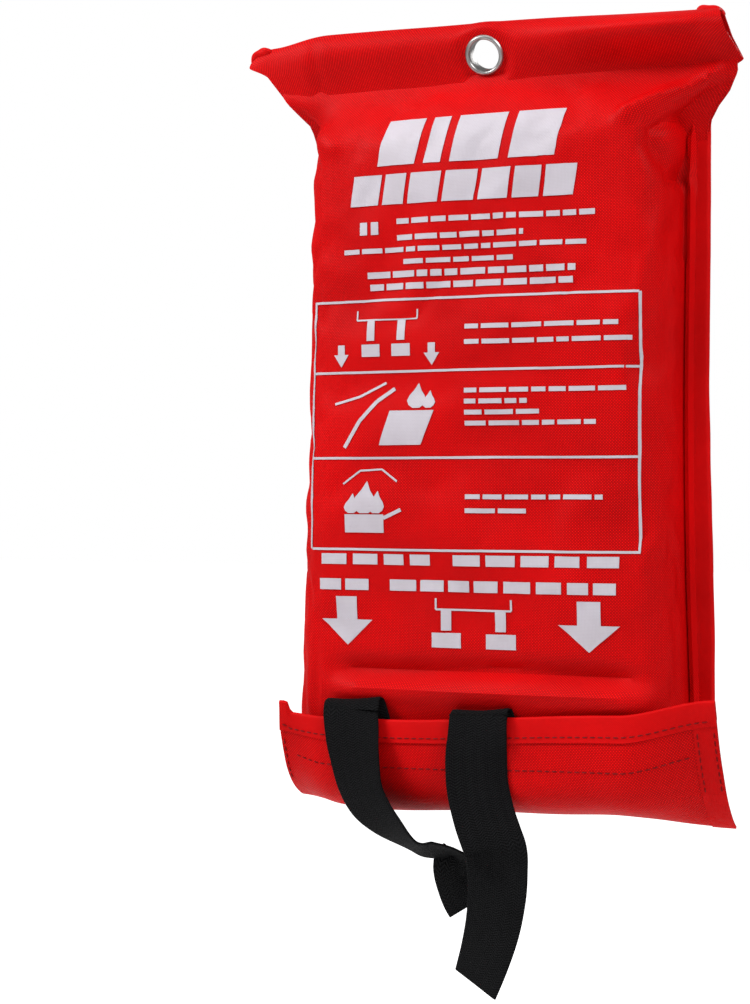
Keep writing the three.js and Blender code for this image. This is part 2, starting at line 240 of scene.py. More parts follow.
class Nodes:
    """Short calls for building a material's node tree."""

    def __init__(self, name):
        self.material = bpy.data.materials.new(name)
        self.material.use_nodes = True
        self.tree = self.material.node_tree
        self.shader = self.tree.nodes["Principled BSDF"]

    def add(self, kind, **values):
        node = self.tree.nodes.new(kind)
        for key, value in values.items():
            setattr(node, key, value)
        return node

    def wire(self, source, target):
        self.tree.links.new(source, target)

    def math(self, operation, *values):
        node = self.add("ShaderNodeMath", operation=operation)
        for socket, value in zip(node.inputs, values):
            if isinstance(value, (int, float)):
                socket.default_value = value
            else:
                self.wire(value, socket)
        return node.outputs[0]

    def sum(self, a, share_a, b, share_b):
        """share_a of a and share_b of b. A share of 1 needs no node of its own."""
        terms = ((a, share_a), (b, share_b))
        parts = [v if share == 1 else self.math("MULTIPLY", v, share) for v, share in terms]
        return self.math("ADD", *parts)

    def flat(self):
        """The flat cloth's two coordinates, in metres."""
        place = self.add("ShaderNodeUVMap", uv_map="cloth")
        split = self.add("ShaderNodeSeparateXYZ")
        self.wire(place.outputs["UV"], split.inputs[0])
        return split.outputs[0], split.outputs[1]

    def noise(self, scale, detail=3.0):
        place = self.add("ShaderNodeTexCoord")
        texture = self.add("ShaderNodeTexNoise")
        for key, number in (("Scale", scale), ("Detail", detail), ("Roughness", 0.55)):
            texture.inputs[key].default_value = number
        self.wire(place.outputs["Object"], texture.inputs["Vector"])
        return texture.outputs["Fac"]

    def range(self, value, low, high, to_low, to_high):
        node = self.add("ShaderNodeMapRange")
        for key, number in (("From Min", low), ("From Max", high), ("To Min", to_low), ("To Max", to_high)):
            node.inputs[key].default_value = number
        self.wire(value, node.inputs["Value"])
        return node.outputs["Result"]

    def ramp(self, value, *stops):
        node = self.add("ShaderNodeValToRGB")
        for element, (place, colour) in zip(node.color_ramp.elements, stops):
            element.position = place
            element.color = (*colour, 1)
        self.wire(value, node.inputs["Fac"])
        return node.outputs["Color"]

    def colour(self, value, dark, light):
        """The base colour, between two stops of (value, colour)."""
        self.wire(self.ramp(value, dark, light), self.shader.inputs["Base Color"])

    def rough(self, value, low, high, to_low, to_high):
        self.wire(self.range(value, low, high, to_low, to_high), self.shader.inputs["Roughness"])

    def bump(self, height, strength, distance):
        node = self.add("ShaderNodeBump")
        node.inputs["Strength"].default_value = strength
        node.inputs["Distance"].default_value = distance
        self.wire(height, node.inputs["Height"])
        self.wire(node.outputs["Normal"], self.shader.inputs["Normal"])

    def set(self, **values):
        for key, value in values.items():
            self.shader.inputs[key.replace("_", " ")].default_value = value


def weave(n, pitch):
    """Plain weave: rounded threads over and under each other. Gives the height and which one is on top."""
    across, along = (n.math("SINE", n.math("MULTIPLY", place, math.pi / pitch)) for place in n.flat())
    product = n.math("MULTIPLY", across, along)
    height = n.math("POWER", n.math("ABSOLUTE", product), 0.6)
    return height, n.range(product, -0.25, 0.25, 0.0, 1.0)


def oxford_cloth(name, dark, light, pitch, contrast, rough):
    """Coated oxford cloth: a visible grain, a satin coat, and slow changes of shade."""
    n = Nodes(name)
    height, warp = weave(n, pitch)
    grain = n.sum(height, 0.6, warp, 0.4)
    slow = n.noise(22.0, 4.0)
    fine = n.noise(900.0, 2.0)
    tone = n.sum(grain, contrast, slow, 1 - contrast)
    n.colour(n.sum(tone, 1, n.math("SUBTRACT", fine, 0.5), 0.12), (0.2, dark), (0.8, light))
    n.rough(n.math("ADD", grain, slow), 0.4, 1.5, rough + 0.1, rough - 0.06)
    n.bump(n.sum(grain, 1, fine, 0.25), 0.55, 0.16 * MM)
    n.set(Specular_IOR_Level=0.07)
    return n.material


def webbing_material():
    """Black webbing: ribs across with a herringbone lean, and a faint dusty sheen."""
    n = Nodes("tape_webbing")
    across, along = n.flat()
    lean = n.math("PINGPONG", across, 2.3 * MM)
    rib = n.math("SINE", n.math("MULTIPLY", n.sum(along, 1, lean, 0.55), 2 * math.pi / (1.05 * MM)))
    cord = n.math("SINE", n.math("MULTIPLY", across, 2 * math.pi / (0.9 * MM)))
    height = n.sum(rib, 0.6, cord, 0.25)
    fine = n.noise(1400.0)
    tone = n.sum(n.range(height, -0.85, 0.85, 0.1, 0.75), 1, n.noise(40.0), 0.3)
    n.colour(tone, (0.15, (0.0004, 0.0004, 0.0005)), (0.9, (0.011, 0.011, 0.012)))
    n.rough(fine, 0.2, 0.8, 0.62, 0.85)
    n.bump(n.sum(height, 1, fine, 0.5), 0.9, 0.3 * MM)
    n.set(Specular_IOR_Level=0.06)
    return n.material


def glass_cloth_material():
    """Off-white glass fibre cloth: a coarse bright weave with flat, glossy threads."""
    n = Nodes("glass_cloth")
    height, warp = weave(n, 0.85 * MM)
    tone = n.sum(height, 0.6, n.noise(30.0, 4.0), 0.4)
    n.colour(tone, (0.15, (0.5, 0.48, 0.42)), (0.75, (0.8, 0.78, 0.71)))
    n.rough(warp, 0.0, 1.0, 0.42, 0.6)
    n.bump(height, 0.6, 0.18 * MM)
    n.set(Sheen_Weight=0.2, Sheen_Roughness=0.3)
    return n.material


def pile_material():
    """Hook and loop tape: a matt, fuzzy red pile."""
    n = Nodes("hook_and_loop")
    fuzz = n.noise(2600.0, 4.0)
    tone = n.sum(fuzz, 0.75, n.noise(60.0, 2.0), 0.25)
    n.colour(tone, (0.3, (0.16, 0.003, 0.006)), (0.7, (0.42, 0.008, 0.014)))
    n.rough(fuzz, 0.2, 0.8, 0.8, 1.0)
    n.bump(fuzz, 0.9, 0.5 * MM)
    n.set(Sheen_Weight=0.5, Sheen_Roughness=0.6)
    return n.material


def nickel_material():
    """Worn nickel plate: satin, with fine scratches and a little tarnish."""
    n = Nodes("eyelet_metal")
    slow = n.noise(90.0)
    n.colour(slow, (0.3, (0.24, 0.235, 0.23)), (0.7, (0.5, 0.49, 0.48)))
    n.rough(slow, 0.3, 0.7, 0.44, 0.36)
    n.bump(n.noise(3000.0, 2.0), 0.05, 0.01 * MM)
    n.set(Metallic=1.0)
    return n.material


def ink_material():
    """Pale printing ink: flat and matt, with the cloth's grain just showing through."""
    n = Nodes("print_ink")
    height, warp = weave(n, 0.55 * MM)
    slow = n.noise(70.0, 4.0)
    n.colour(n.sum(height, 0.35, slow, 0.65), (0.15, (0.45, 0.4, 0.44)), (0.7, (0.58, 0.54, 0.6)))
    n.rough(slow, 0.3, 0.7, 0.5, 0.62)
    n.bump(n.math("ADD", height, warp), 0.3, 0.1 * MM)
    return n.material


def thread_material(name, dark, light):
    """Sewing thread: two plies twisted together."""
    n = Nodes(name)
    twist = n.noise(3500.0, 2.0)
    n.colour(twist, (0.3, dark), (0.7, light))
    n.rough(twist, 0.3, 0.7, 0.45, 0.65)
    n.bump(twist, 0.4, 0.1 * MM)
    n.set(Specular_IOR_Level=0.15)
    return n.material


RED = oxford_cloth("pouch_cloth", (0.2, 0.0003, 0.0006), (0.9, 0.002, 0.003), 0.6 * MM, 0.7, 0.5)
TRIM = oxford_cloth("pouch_trim", (0.46, 0.0004, 0.0008), (0.78, 0.003, 0.004), 0.4 * MM, 0.3, 0.48)
WEB = webbing_material()
GLASS = glass_cloth_material()
PILE = pile_material()
NICKEL = nickel_material()
INK = ink_material()
RED_THREAD = thread_material("red_thread", (0.1, 0.0005, 0.001), (0.24, 0.001, 0.002))


# ---- camera, light and floor ----

AZIMUTH = math.radians(25)
AIM = Vector((-0.0507, 0, -0.1764))
DISTANCE = 0.93
FLOOR_Z = -0.7
FLOOR_REACH = 12.0
LIT_POINT = Vector((0, 0, -0.16))


def make_camera():
    data = bpy.data.cameras.new("camera")
    data.lens = 79.4
    data.sensor_width = 36
    data.shift_y = -0.017
    data.clip_end = 50
    camera = link(bpy.data.objects.new("camera", data))
    camera.location = AIM + DISTANCE * Vector((math.sin(AZIMUTH), -math.cos(AZIMUTH), 0))
    camera.rotation_euler = (math.radians(90), 0, AZIMUTH)
    bpy.context.scene.camera = camera


def soft_light(name, place, size, power):
    data = bpy.data.lights.new(name, "AREA")
    data.shape = "RECTANGLE"
    data.size, data.size_y = size
    data.energy = power
    light = link(bpy.data.objects.new(name, data))
    light.location = place
    light.rotation_euler = (LIT_POINT - Vector(place)).to_track_quat("-Z", "Y").to_euler()


def make_floor():
    """A pale floor with a painted glow: seen by the camera, it brightens into the distance."""
    ends = (-FLOOR_REACH, FLOOR_REACH)
    points = np.array([[(x, y, FLOOR_Z) for x in ends] for y in ends])
    floor = grid_object("floor", points, points[:, :, :2])
    n = Nodes("floor_painted_glow")
    away = n.add("ShaderNodeVectorMath", operation="LENGTH")
    n.wire(n.add("ShaderNodeTexCoord").outputs["Object"], away.inputs[0])
    # Painted glow: camera rays see the floor's emission turn from grey to white with distance.
    far = n.range(away.outputs["Value"], 0.5, 1.3, 0.0, 1.0)
    glow = n.math("MULTIPLY", far, n.add("ShaderNodeLightPath").outputs["Is Camera Ray"])
    n.wire(n.ramp(glow, (0.0, (0.1, 0.1, 0.1)), (1.0, (1.0, 1.0, 1.0))), n.shader.inputs["Emission Color"])
    n.set(Base_Color=(0.9, 0.9, 0.9, 1), Roughness=0.9, Emission_Strength=1.0)
    shade(floor, n.material)


def make_world():
    """A white world that lights the object less than it shows."""
    world = bpy.data.worlds.new("world")
    bpy.context.scene.world = world
    world.use_nodes = True
    sky = world.node_tree
    strength = sky.nodes.new("ShaderNodeMapRange")
    strength.inputs["To Min"].default_value = 0.2
    strength.inputs["To Max"].default_value = 1.0
    sky.links.new(sky.nodes.new("ShaderNodeLightPath").outputs["Is Camera Ray"], strength.inputs["Value"])
    background = sky.nodes["Background"]
    background.inputs["Color"].default_value = (1, 1, 1, 1)
    sky.links.new(strength.outputs["Result"], background.inputs["Strength"])


def make_studio():
    make_floor()
    make_world()
    soft_light("key", (-1.15, -0.9, 0.95), (0.5, 0.5), 28)
    soft_light("fill", (1.2, -0.65, 0.85), (0.6, 0.6), 15.5)
    soft_light("top", (-0.1, -0.3, 1.2), (1.0, 0.5), 3.5)
    soft_light("rear", (0.4, 1.5, 0.5), (0.8, 0.8), 9)
    view = bpy.context.scene.view_settings
    view.view_transform = "Standard"
    view.look = "None"


make_camera()
make_studio()


# ---- the pouch's front ----

FLANGE_X = 90.0 * MM
FLANGE_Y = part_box("right_seam_binding")[0][1] + CLOTH + 0.3 * MM
PANEL_TOP = -6.0 * MM
BODY_Z = -37.0 * MM
WALL_SHARE = 0.66
SEAM_SHARE = 0.9

# The cloth's side edges under the header, from the ears down to the body: (z, x)
RIGHT_EAR = np.array([(-6, 105.5), (-15, 105.5), (-21.5, 101.2), (-26.5, 95.6), (-31.5, 91.8), (-38, 90.2),
                      (-46, 90)]) * MM
LEFT_EAR = np.array([(-6, 95.5), (-11.5, 93.5), (-19.5, 86.5), (-23.5, 83), (-30, 82.4), (-46, 82.5)]) * MM

# A side of the bulge, from the front face round to the seam and out along the flange: (x, depth) in mm
RIGHT_WALL = [(65, 0), (71, 1.2), (75.6, 4.6), (78.6, 10), (80.4, 16.5), (81.2, 22.4), (81.8, 24.0),
              (82.5, 22.2), (83.4, 21.5), (84.3, 22.3), (84.9, 24.3), (90, 25.1)]
LEFT_WALL = [(64, 0), (70, 1.0), (74.2, 4.4), (76.4, 9), (76.8, 15), (76.8, 20), (77.0, 22.6), (77.8, 24.0),
             (79, 24.7), (80.5, 25.0), (82.5, 25.1)]

# Folds (+) and dips (-) from the ears down into the bulge's top corners: (height, x, z to x, z, width)
CORNER_FOLDS = np.array([
    (4.4, 98, -13.5, 63, -31, 2.8), (-4.2, 97, -22.5, 74, -36.5, 2.8), (-4.4, 74, -43, 81, -54, 3.6),
    (-1.4, 79, -56, 80, -85, 2.4), (1.6, -90, -14, -64, -36, 3.6), (-2.0, -81, -24, -72, -44, 3.0)]) * MM

SETTLE_FRAMES = 16
CLOTH_TRAVEL = 2.6 * MM
CLOTH_SETTINGS = {
    "quality": 5, "mass": 0.2, "tension_stiffness": 30, "compression_stiffness": 30, "shear_stiffness": 12,
    "bending_stiffness": 0.6, "air_damping": 4, "vertex_group_mass": "held", "vertex_group_shrink": "slack",
    "shrink_min": -0.004, "shrink_max": -0.035, "use_pressure": True, "uniform_pressure_force": 1.2}


def outline_x(edge, z):
    return np.interp(z, edge[::-1, 0], edge[::-1, 1])


def wall_curve(points):
    path = curve([(x, depth, 0) for x, depth in points], 80)[:, :2] * MM
    path[:, 1] *= (FLANGE_Y - FACE_Y) / path[-1, 1]
    return path


WALLS = {1: wall_curve(RIGHT_WALL), -1: wall_curve(LEFT_WALL)}


def front_point(share, z):
    """A point of the front panel. share runs from -1 at the left flange's edge to 1 at the right one's."""
    side = -1 if share < 0 else 1
    s = abs(share)
    wall = WALLS[side]
    full = smooth(HEADER_BOTTOM + 2 * MM, BODY_Z, z)
    edge = outline_x(LEFT_EAR if side < 0 else RIGHT_EAR, z)
    if s < WALL_SHARE:
        x, depth = wall[0, 0] * s / WALL_SHARE, 0.0
    else:
        row = (s - WALL_SHARE) / (1 - WALL_SHARE) * (len(wall) - 1)
        x, depth = (np.interp(row, range(len(wall)), wall[:, k]) for k in (0, 1))
    low = smooth(-0.04, -0.3, z)
    waist = bump(-0.15, 0.07, z) - smooth(-0.2, -0.3, z) * 1.5
    spread = 7.0 * MM * low if side < 0 else -1.3 * MM * waist
    flat_x = edge * s
    x = mix(flat_x, x * edge / wall[-1, 0] + spread * s, full)
    mouth_hold = smooth(-0.276, -0.262, z)
    pillow = 2.4 * MM * math.cos(min(s / 0.78, 1.0) * math.pi / 2) * mouth_hold
    start = mix(-0.8 * MM, 0.7 * MM, smooth(-15 * MM, PANEL_TOP, z))
    y = mix(start, FACE_Y - pillow + depth, full)
    return side * x, y, z


def fold_along(point, start, end, width):
    """1 on the line from start to end, and less beside it."""
    line = end - start
    away = point - start
    away -= min(max(away @ line / (line @ line), 0), 1) * line
    return math.exp(-((np.linalg.norm(away) / width) ** 2))


def front_relief(x, z):
    """How far the front's cloth stands out (+) or dips (-), for folds the eye can pick out."""
    inside = smooth(0.080, 0.062, abs(x))
    across = smooth(0.080, 0.058, x) * smooth(-0.072, -0.05, x)
    slack = 0.9 * MM * math.sin(x * 55 + 0.8)
    valley = -4.7 * MM * bump(-0.2520 + slack, 0.0042, z)
    ridge = 3.4 * MM * bump(-0.2602 + slack, 0.0042, z)
    long_waves = 1.2 * MM * noise_at(x, 0, z, 0.075, 3.1) * inside
    short_waves = 0.35 * MM * noise_at(x, 0, z, 0.02, 8.4) * inside
    pucker = 0.8 * MM * math.sin(x * 900) * smooth(-0.06, -0.07, x) * smooth(-0.235, -0.262, z)
    return ((valley + ridge) * across + long_waves + short_waves + pucker) * smooth(-0.276, -0.264, z)


def corner_relief(x, z):
    """The same for the folds in the top corners."""
    point = np.array((x, z))
    folds = [row[0] * fold_along(point, row[1:3], row[3:5], row[5]) for row in CORNER_FOLDS]
    return sum(folds) * smooth(-9 * MM, -15 * MM, z)


def make_front():
    half = np.concatenate([
        np.linspace(0, WALL_SHARE, 28, endpoint=False),
        np.linspace(WALL_SHARE, SEAM_SHARE, 22, endpoint=False),
        np.linspace(SEAM_SHARE, 1.0, 9),
    ])
    shares = np.concatenate([-half[:0:-1], half])
    heights = np.concatenate([
        np.linspace(PANEL_TOP, -0.06, 32, endpoint=False),
        np.linspace(-0.06, MOUTH_Z, 92),
    ])
    points = np.array([[front_point(share, z) for share in shares] for z in heights])
    relief = np.zeros(points.shape[:2])
    for r, z in enumerate(heights):
        full = smooth(HEADER_BOTTOM, BODY_Z, z)
        for c, share in enumerate(shares):
            x = points[r, c, 0]
            s = abs(share)
            wrinkles = 1.5 * MM * noise_at(0, share * 0.3, z, 0.02, 5.5)
            wrinkles += 0.9 * MM * noise_at(0.4, share * 0.3, z, 0.011, 1.5)
            relief[r, c] = front_relief(x, z) * full * smooth(SEAM_SHARE, 0.8, s)
            relief[r, c] += corner_relief(x, z) * smooth(0.97, 0.9, s)
            relief[r, c] += bump(0.8, 0.06, s) * full * wrinkles
    points -= normals_of(points) * relief[:, :, None]
    middle = len(shares) // 2
    run = np.array([run_of(row) for row in points])
    run -= run[:, middle][:, None]
    drop = run_of(points[:, middle])
    flat = np.stack([run, -np.repeat(drop[:, None], len(shares), axis=1)], axis=2)
    return grid_object("pouch_front", points, flat, flip=True), shares


def settle(sheet, shares):
    """Lets the slack cloth between the seams buckle by itself, no point moving more than CLOTH_TRAVEL."""
    rest = np.array([v.co for v in sheet.data.vertices])
    held = sheet.vertex_groups.new(name="held")
    slack = sheet.vertex_groups.new(name="slack")
    for index, (x, _, z) in enumerate(rest):
        s = abs(shares[index % len(shares)])
        corner = smooth(0.052, 0.062, abs(x)) * smooth(-0.066, -0.056, z)
        seam = smooth(SEAM_SHARE - 0.04, SEAM_SHARE, s)
        ends = max(smooth(-15 * MM, -11 * MM, z), smooth(-0.234, -0.244, z))
        held.add([index], max(seam, ends, corner), "REPLACE")
        loose = max(smooth(0.5, 0.72, s), smooth(-0.06, -0.03, z), smooth(-0.22, -0.25, z))
        slack.add([index], loose, "REPLACE")
    cloth = sheet.modifiers.new("settle", "CLOTH")
    for key, value in CLOTH_SETTINGS.items():
        setattr(cloth.settings, key, value)
    cloth.settings.effector_weights.gravity = 0
    cloth.collision_settings.use_collision = False
    scene = bpy.context.scene
    scene.frame_start = 1
    scene.frame_end = SETTLE_FRAMES
    for frame_number in range(1, SETTLE_FRAMES + 1):
        scene.frame_set(frame_number)
    graph = bpy.context.evaluated_depsgraph_get()
    travel = np.array([v.co for v in sheet.evaluated_get(graph).data.vertices]) - rest
    sheet.modifiers.clear()
    scene.frame_set(1)
    length = np.linalg.norm(travel, axis=1, keepdims=True)
    travel *= np.minimum(1, CLOTH_TRAVEL / np.maximum(length, 1e-9))
    sheet.data.vertices.foreach_set("co", (rest + travel).astype(np.float32).ravel())
    sheet.data.update()


front, front_shares = make_front()
settle(front, front_shares)
front_sheet = BVHTree.FromObject(front, bpy.context.evaluated_depsgraph_get())


def on_front(x, z, lift=0.0):
    """The front cloth's outer surface at x, z, as seen from straight ahead."""
    hit, normal, _, _ = front_sheet.ray_cast(Vector((x, -0.2, z)), Vector((0, 1, 0)))
    if hit is None:
        return Vector((x, FACE_Y, z))
    if normal.y > 0:
        normal = -normal
    return hit + normal * lift


thicken(front, CLOTH)
fit(shade(front, RED), "pouch_cloth", "pouch", "front_panel")


# ---- sheets that follow a surface ----

def flat_of(points):
    """Where each point of a grid lies on the flat cloth, in metres."""
    across = np.linalg.norm(np.diff(points, axis=1), axis=2).mean(axis=0)
    along = np.linalg.norm(np.diff(points, axis=0), axis=2).mean(axis=1)
    u, v = (np.concatenate([[0], np.cumsum(steps)]) for steps in (across, along))
    return np.stack(np.meshgrid(u - u[-1] / 2, v), axis=2)


def surface(place, across, along):
    """A rows x columns array of the points place(u, v)."""
    return np.array([[place(u, v) for u in across] for v in along])


def cloth_on(name, place, across, along, material, lift=0.0, thickness=CLOTH):
    """A thin solid of cloth that follows place(u, v), a given height off it."""
    points = surface(place, across, along)
    points = points + normals_of(points) * lift
    sheet = grid_object(name, points, flat_of(points))
    thicken(sheet, thickness)
    return shade(sheet, material)


def as_sheet(cloth, with_pieces=()):
    """Reads a piece's flat cloth coordinates, and does nothing more with them. with_pieces is not used."""
    layer = cloth.data.uv_layers["cloth"].data
    flat = np.empty(2 * len(layer))
    layer.foreach_get("uv", flat)


def hem_on(name, place, across, low, high, inside, radius, material):
    """A hem folded over the edge v = high: down the outside to v = low, and down the inside to v = inside."""
    outer = surface(place, across, np.linspace(low, high, 6))
    inner = surface(place, across, np.linspace(high, inside, 3))
    normal = normals_of(surface(place, across, np.linspace(low, high, 12)))[-1]
    edge = outer[-1]
    upward = unit(edge - surface(place, across, [high - 0.03])[0])
    rows = list(outer + normal * radius)
    for turn in np.radians([30, 60, 90, 120, 150]):
        rows.append(edge + normal * radius * math.cos(turn) + upward * radius * math.sin(turn))
    rows += list(inner - normal * radius)
    points = np.array(rows)
    sheet = grid_object(name, points, flat_of(points))
    thicken(sheet, CLOTH * 0.9)
    return shade(sheet, material)


class Stitches:
    """Rows of lockstitch, gathered into one mesh."""

    LENGTH = 2.3 * MM
    PITCH = 3.2 * MM
    RADIUS = 0.24 * MM
    SIDES = 6
    # A stitch from end to end: (share of its length, height in mm, share of its radius)
    SHAPE = [(0, -0.15, 0.5), (0.18, 0.1, 1), (0.5, 0.16, 1.05), (0.82, 0.1, 1), (1, -0.15, 0.5)]

    def __init__(self):
        self.vertices = []
        self.faces = []

    def row(self, path, normal, lift):
        """One row along a dense path, with the cloth's normals on it."""
        run = run_of(path)

        def at(s, values):
            return np.array([np.interp(s, run, values[:, k]) for k in range(3)])

        start = 0.5 * MM
        while start + self.LENGTH < run[-1]:
            first = len(self.vertices)
            for share, height, size in self.SHAPE:
                s = start + share * self.LENGTH
                out = unit(at(s, normal))
                ahead = unit(at(min(s + 0.3 * MM, run[-1]), path) - at(s - 0.3 * MM, path))
                side = np.cross(ahead, out)
                centre = at(s, path) + out * (lift + height * MM)
                self.vertices += [centre + self.RADIUS * size * (math.cos(a) * out + math.sin(a) * side)
                                  for a in np.linspace(0, 2 * math.pi, self.SIDES, endpoint=False)]
            self.faces += tube_faces(len(self.SHAPE), self.SIDES, first)
            start += self.PITCH

    def finish(self, name):
        return shade(face_out(mesh_object(name, self.vertices, self.faces)), RED_THREAD)


def row_on(stitches, place, path, lift):
    """Stitches along a path of (u, v) pairs on a surface."""
    nudge = 0.004
    points = np.array([place(u, v) for u, v in path])
    outs = []
    for u, v in path:
        right = np.array(place(min(u + nudge, 1), v)) - np.array(place(max(u - nudge, -1), v))
        up = np.array(place(u, min(v + nudge, 1))) - np.array(place(u, max(v - nudge, 0)))
        outs.append(np.cross(right, up))
    stitches.row(points, unit(np.array(outs)), lift)


# ---- the header band ----

# The header's section, up the front, over the top and down the back: (depth in mm, share of the height)
HEADER_ROLL = [(0.7, -0.13), (-0.1, 0.0), (-1.3, 0.2), (-2.7, 0.45), (-3.6, 0.7), (-3.1, 0.9), (-0.9, 1.0),
               (1.2, 0.93), (1.5, 0.75), (1.5, 0.5), (1.5, 0.22), (1.3, 0.0)]
HEADER_HEIGHT = 25 * MM
HEADER_SECTION = curve([(0, y * MM, h * HEADER_HEIGHT) for y, h in HEADER_ROLL], 241)
# The header's ends: shares of the height, and x there in mm
HEADER_LEFT = ([0, 0.45, 0.76, 0.88, 1.0], [-93.5, -101, -109.8, -109, -105])
HEADER_RIGHT = ([0, 0.08, 0.5, 0.9, 1.0], [106.6, 107.4, 103.2, 100.6, 99.6])
EYELET_FLAT = 15 * MM
EYELET_TILT = math.radians(20)
EYELET_LEAD = 1.2 * MM
ROLL_TUCK = 2 * MM


def header_place(u, v):
    """u runs from the left ear to the right one, v up the front, over the top and down the back."""
    _, y, height = HEADER_SECTION[int(round(v * (len(HEADER_SECTION) - 1)))]
    share = height / HEADER_HEIGHT
    left = np.interp(share, *HEADER_LEFT) * MM + ROLL_TUCK * smooth(0, -0.13, share)
    right = np.interp(share, *HEADER_RIGHT) * MM - 2 * ROLL_TUCK * smooth(0.08, -0.1, share)
    x = mix(left, right, (u + 1) / 2)
    drop = 3.2 * smooth(-0.072, -0.1, x) + 3.4 * smooth(-0.1, -0.11, x)
    drop += 3.6 * smooth(0.0, 0.1, x) - 0.9 * smooth(0, -0.07, x)
    z = mix(HEADER_BOTTOM + 0.5 * MM, HEADER_TOP - drop * MM, share)
    near_eyelet = smooth(EYELET_FLAT, 9 * MM, math.hypot(x, z))
    flat_y = math.copysign(1.5 * MM, y) if abs(y) > 1.2 * MM else y
    soft = mix(y, flat_y - z * math.tan(EYELET_TILT) - EYELET_LEAD, near_eyelet)
    wave = 0.7 * MM * noise_at(x, 0, z, 0.03, 2.2) * (1 - near_eyelet)
    crease = 0.9 * MM * bump(-0.0775 - (z - 0.013) * 0.06, 0.0022, x) * smooth(1.0, 0.8, share)
    lean = 2.4 * MM * smooth(-0.078, -0.108, x) - 3.6 * MM * smooth(0.01, 0.09, x) * (share - 0.12)
    if y >= 0:
        return x, soft + wave + crease * 0.4 + lean, z
    overhang = 0.2 + 0.8 * smooth(0.012, 0.065, x) * smooth(0.106, 0.09, x)
    overhang *= (1 - near_eyelet) * smooth(-0.1, -0.07, x)
    lean -= 10.5 * MM * overhang * math.sin(math.pi * min(max(share, 0), 1) ** 1.7) ** 1.2
    return x, soft + wave + crease + lean, z


def open_hole(obj, radius):
    """Cuts a round hole through a sheet about the eyelet's axis, before the sheet is thickened."""
    mesh = bmesh.new()
    mesh.from_mesh(obj.data)
    gone = []
    for face in mesh.faces:
        middle = face.calc_center_median()
        if math.hypot(middle.x, middle.z) < radius:
            gone.append(face)
    bmesh.ops.delete(mesh, geom=gone, context="FACES")
    for vertex in mesh.verts:
        away = math.hypot(vertex.co.x, vertex.co.z)
        if vertex.is_boundary and away < 1.6 * radius:
            vertex.co.x *= radius / away
            vertex.co.z *= radius / away
    mesh.to_mesh(obj.data)
    mesh.free()


def make_header():
    across = np.concatenate([
        np.linspace(-1, -0.12, 50, endpoint=False),
        np.linspace(-0.12, 0.12, 40, endpoint=False),
        np.linspace(0.12, 1, 50),
    ])
    points = surface(header_place, across, np.linspace(0, 1, 61))
    header = grid_object("header", points, flat_of(points))
    open_hole(header, 6.9 * MM)
    thicken(header, CLOTH)
    return fit(shade(header, RED), "pouch_cloth", "pouch", "header_band")


def turned(name, node, profile):
    """A metal ring about the eyelet's axis, tilted a little down: (radius, y) in mm."""
    sides = 72
    tilt = Matrix.Rotation(EYELET_TILT, 3, "X")
    vertices = []
    faces = []
    for r, (radius, y) in enumerate(profile):
        following = (r + 1) % len(profile) * sides
        for k in range(sides):
            a = 2 * math.pi * k / sides
            point = Vector((radius * MM * math.cos(a), y * MM, radius * MM * math.sin(a)))
            vertices.append(tilt @ point - Vector((0, EYELET_LEAD, 0)))
            b = (k + 1) % sides
            faces.append((r * sides + k, r * sides + b, following + b, following + k))
    ring = face_out(mesh_object(name, vertices, faces))
    return fit(shade(ring, NICKEL), "eyelet_metal", "pouch", node)


def make_eyelet():
    barrel = turned("eyelet", "eyelet_barrel", [
        (6.25, 2.6), (6.22, 0.5), (6.25, -1.2), (6.35, -2.0), (6.65, -2.6), (7.1, -2.9), (7.6, -2.85),
        (8.05, -2.5), (8.35, -1.9), (8.25, -1.7), (7.9, -1.9), (7.2, -1.95), (6.8, -1.7), (6.7, 0.5),
        (6.75, 2.75), (7.3, 2.8), (7.9, 2.95), (8.0, 3.3), (7.5, 3.65), (6.9, 3.7), (6.4, 3.3)])
    washer = turned("eyelet_ring", "eyelet_washer", [
        (6.85, 1.95), (8.3, 1.9), (8.8, 2.05), (8.9, 2.3), (8.7, 2.55), (8.1, 2.7), (6.9, 2.7)])
    return [barrel, washer]


# The rolled corners of the header's hem, at the tips of the ears: (x, y, z, radius) in mm
EAR_ROLLS = {
    "left": [(-110.2, 2.2, 5.6, 0.7), (-108.5, 1.6, 8.2, 1.7), (-105, 0.6, 9.4, 2.1),
             (-101.5, -0.4, 9.6, 1.9), (-99.5, -0.6, 9.5, 0.8)],
    "right": [(88.8, 0, 9.4, 0.7), (90.6, -0.3, 10.1, 1.9), (95, -0.5, 9.6, 2.2),
              (98.6, -0.6, 8.4, 2.0), (100.4, -0.7, 6.9, 0.8)],
}


def make_ear_rolls():
    rolls = []
    sides = 12
    rings = 14
    for name, stations in EAR_ROLLS.items():
        path = curve(stations, rings) * MM
        vertices = []
        for i, (x, y, z, r) in enumerate(path):
            ahead = unit(path[min(i + 1, rings - 1), :3] - path[max(i - 1, 0), :3])
            side = unit(np.cross(ahead, (0, 1, 0)))
            for k in range(sides):
                a = 2 * math.pi * k / sides
                size = r * (1 + 0.12 * math.sin(3 * a + i))
                out = math.cos(a) * side + math.sin(a) * np.array((0, 1, 0))
                vertices.append(np.array((x, y, z)) + size * out)
        flat = [(v[0], v[2] + v[1]) for v in vertices]
        roll = shade(mesh_object(name + "_ear_roll", vertices, tube_faces(rings, sides), flat), TRIM)
        subdivide(roll)
        roll.data.shade_smooth()
        rolls.append(fit(roll, "pouch_trim", "pouch"))
    return rolls


# ---- the pouch's back and side seams ----

